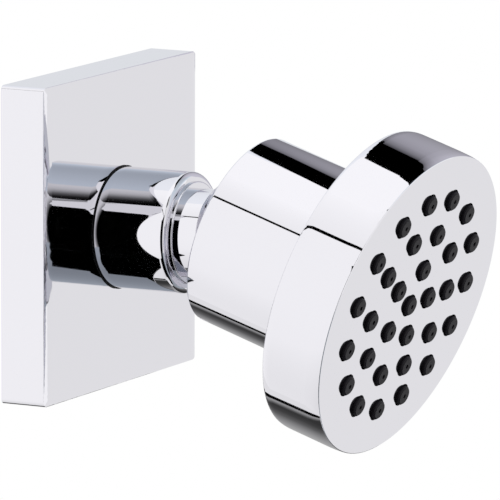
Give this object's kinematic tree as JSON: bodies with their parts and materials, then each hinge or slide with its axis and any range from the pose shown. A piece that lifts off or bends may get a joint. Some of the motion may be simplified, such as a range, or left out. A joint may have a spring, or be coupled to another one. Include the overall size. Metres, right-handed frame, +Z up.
{
  "type": "shower body jet",
  "caption": "Square wall plate with a short round arm and a round spray head that swivels on a ball joint, sending jets of water sideways from a shower wall.",
  "frame": {"origin": "centre of the inlet thread's mouth, in the plane of the finished wall", "axes": "+Y runs back into the wall along the inlet, -Y is the way the jet leaves, +Z is up, +X is to the right of someone who faces the wall"},
  "size_m": [0.0664, 0.0862, 0.074],
  "materials": {
    "chrome": "polished chrome plate on brass",
    "foam": "closed-cell foam",
    "seal_rubber": "moulded black rubber",
    "nozzle_silicone": "satin black silicone",
    "steel": "stainless",
    "brass": "machined",
    "white_plastic": "moulded acetal",
    "grey_plastic": "moulded ABS",
    "limiter_plastic": "moulded acetal"
  },
  "bodies": {
    "wall_side": {"wall_plate": "chrome", "wall_gasket": "foam", "arm_seal": "seal_rubber", "arm_body": "chrome", "inlet_washer": "seal_rubber", "filter_screen": "steel", "flow_limiter": "limiter_plastic", "limiter_seal": "seal_rubber", "ball_stem": "chrome", "stem_seal": "seal_rubber"},
    "glide": {"glide_ring": "white_plastic"},
    "seal_set": {"ball_seal": "seal_rubber", "seal_washer": "white_plastic"},
    "spray_head": {"seat_nut": "brass", "neck_body": "chrome", "back_seal": "seal_rubber", "water_plate": "grey_plastic", "nozzle_mat": "nozzle_silicone", "face_shell": "chrome", "plate_screws": "steel"}
  },
  "joints": [
    {"name": "turn", "type": "hinge", "parent": "wall_side", "child": "glide", "pos_m": [0, -0.0425, 0], "axis": [0, -1, 0], "continuous": true},
    {"name": "tilt", "type": "hinge", "parent": "glide", "child": "seal_set", "pos_m": [0, -0.0425, 0], "axis": [0.99, 0, -0.1409], "range_deg": [-37.7, 2.3]},
    {"name": "spin", "type": "hinge", "parent": "seal_set", "child": "spray_head", "pos_m": [0, -0.0425, 0], "axis": [-0.0428, -0.9527, -0.301], "continuous": true}
  ]
}
